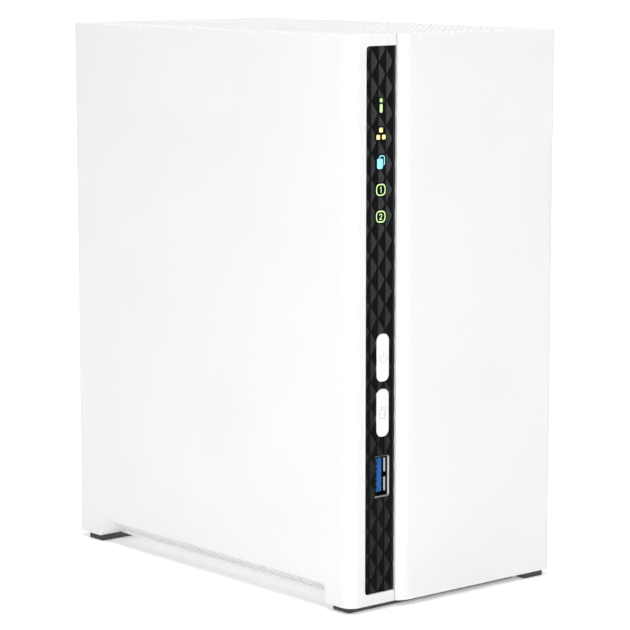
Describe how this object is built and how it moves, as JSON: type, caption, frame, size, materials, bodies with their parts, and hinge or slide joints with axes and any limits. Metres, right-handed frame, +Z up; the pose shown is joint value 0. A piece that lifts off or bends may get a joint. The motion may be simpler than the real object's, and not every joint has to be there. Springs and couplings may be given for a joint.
{
  "type": "network attached storage",
  "caption": "Upright white desktop network storage with a black facetted front strip, push buttons, a sliding cover, a drive cage and a rear fan.",
  "frame": {"origin": "on the floor, under the middle of the object's bounding box", "axes": "+X to the right seen from the front, +Y to the rear, +Z up"},
  "size_m": [0.0902, 0.1562, 0.1886],
  "materials": {
    "shell_white": "fine-textured moulded plastic",
    "panel_white": "moulded plastic",
    "strip_black": "polished, facetted",
    "symbol_lime": "backlit",
    "symbol_yellow": "backlit",
    "symbol_cyan": "backlit",
    "button_white": "satin",
    "plunger_red": "moulded",
    "rubber_grey": "matt",
    "board_green": "solder mask",
    "chip_black": "moulded package",
    "dark_plastic": "moulded",
    "cream_plastic": "moulded",
    "led_white": "epoxy",
    "pad_grey": "soft",
    "heat_sink_metal": "extruded",
    "inductor_grey": "pressed ferrite",
    "capacitor_metal": "drawn can",
    "cell_steel": "rolled",
    "socket_steel": "plated",
    "tongue_blue": "moulded",
    "cage_steel": "zinc-plated sheet",
    "screw_steel": "zinc-plated",
    "screw_black": "black oxide",
    "drive_casting": "cast and machined",
    "drive_lid_steel": "brushed",
    "fan_black": "moulded",
    "copper_winding": "enamelled wire",
    "shaft_steel": "ground",
    "cable_black": "sleeved"
  },
  "bodies": {
    "case": {"left_case": "shell_white", "rear_panel": "panel_white", "rear_panel_screws": "screw_steel", "front_strip": "strip_black", "status_lens": "symbol_lime", "lan_lens": "symbol_yellow", "copy_lens": "symbol_cyan", "drive_lenses": "symbol_lime", "light_shroud": "dark_plastic", "front_board": "board_green", "indicator_leds": "led_white", "button_switches": "dark_plastic", "board_link": "cream_plastic", "main_board": "board_green", "board_screws": "screw_steel", "processor": "chip_black", "thermal_pad": "pad_grey", "heat_sink": "heat_sink_metal", "board_chips": "chip_black", "inductors": "inductor_grey", "capacitors": "capacitor_metal", "coin_cell_holder": "dark_plastic", "coin_cell": "cell_steel", "front_usb_shell": "socket_steel", "front_usb_tongue": "tongue_blue", "rear_usb_shells": "socket_steel", "rear_usb_tongues": "dark_plastic", "network_jack": "socket_steel", "power_jack": "dark_plastic", "power_jack_pin": "socket_steel", "reset_switch": "dark_plastic", "backplane": "board_green", "riser_socket": "dark_plastic", "sata_sockets": "dark_plastic", "drive_cage": "cage_steel", "cage_screws": "screw_steel", "drive_screws": "screw_steel", "drive_1_body": "drive_casting", "drive_1_lid": "drive_lid_steel", "drive_1_board": "board_green", "drive_2_body": "drive_casting", "drive_2_lid": "drive_lid_steel", "drive_2_board": "board_green", "fan_frame": "fan_black", "fan_stator": "copper_winding", "fan_screws": "screw_black", "fan_cable": "cable_black", "case_feet": "rubber_grey"},
    "rotor": {"fan_rotor": "fan_black", "fan_shaft": "shaft_steel"},
    "power_key": {"power_button": "button_white", "power_plunger": "plunger_red"},
    "copy_key": {"copy_button": "button_white", "copy_plunger": "plunger_red"},
    "reset_key": {"reset_button": "cream_plastic"},
    "cover": {"right_cover": "shell_white", "cover_feet": "rubber_grey"},
    "screw_1": {"cover_screw_1": "screw_steel"},
    "screw_2": {"cover_screw_2": "screw_steel"},
    "screw_3": {"cover_screw_3": "screw_steel"}
  },
  "joints": [
    {"name": "fan_spin", "type": "hinge", "parent": "case", "child": "rotor", "pos_m": [0.01, 0.058, 0.12], "axis": [0, 1, 0], "continuous": true},
    {"name": "power_button_press", "type": "slide", "parent": "case", "child": "power_key", "axis": [0, 1, 0], "range_m": [0, 0.0005]},
    {"name": "copy_button_press", "type": "slide", "parent": "case", "child": "copy_key", "axis": [0, 1, 0], "range_m": [0, 0.0005]},
    {"name": "reset_button_press", "type": "slide", "parent": "case", "child": "reset_key", "axis": [0, -1, 0], "range_m": [0, 0.0005]},
    {"name": "cover_slide", "type": "slide", "parent": "case", "child": "cover", "axis": [0, -1, 0], "range_m": [0, 0.16]},
    {"name": "cover_screw_1_withdraw", "type": "slide", "parent": "case", "child": "screw_1", "axis": [0, 1, 0], "range_m": [0, 0.012]},
    {"name": "cover_screw_2_withdraw", "type": "slide", "parent": "case", "child": "screw_2", "axis": [0, 1, 0], "range_m": [0, 0.012]},
    {"name": "cover_screw_3_withdraw", "type": "slide", "parent": "case", "child": "screw_3", "axis": [0, 1, 0], "range_m": [0, 0.012]}
  ]
}
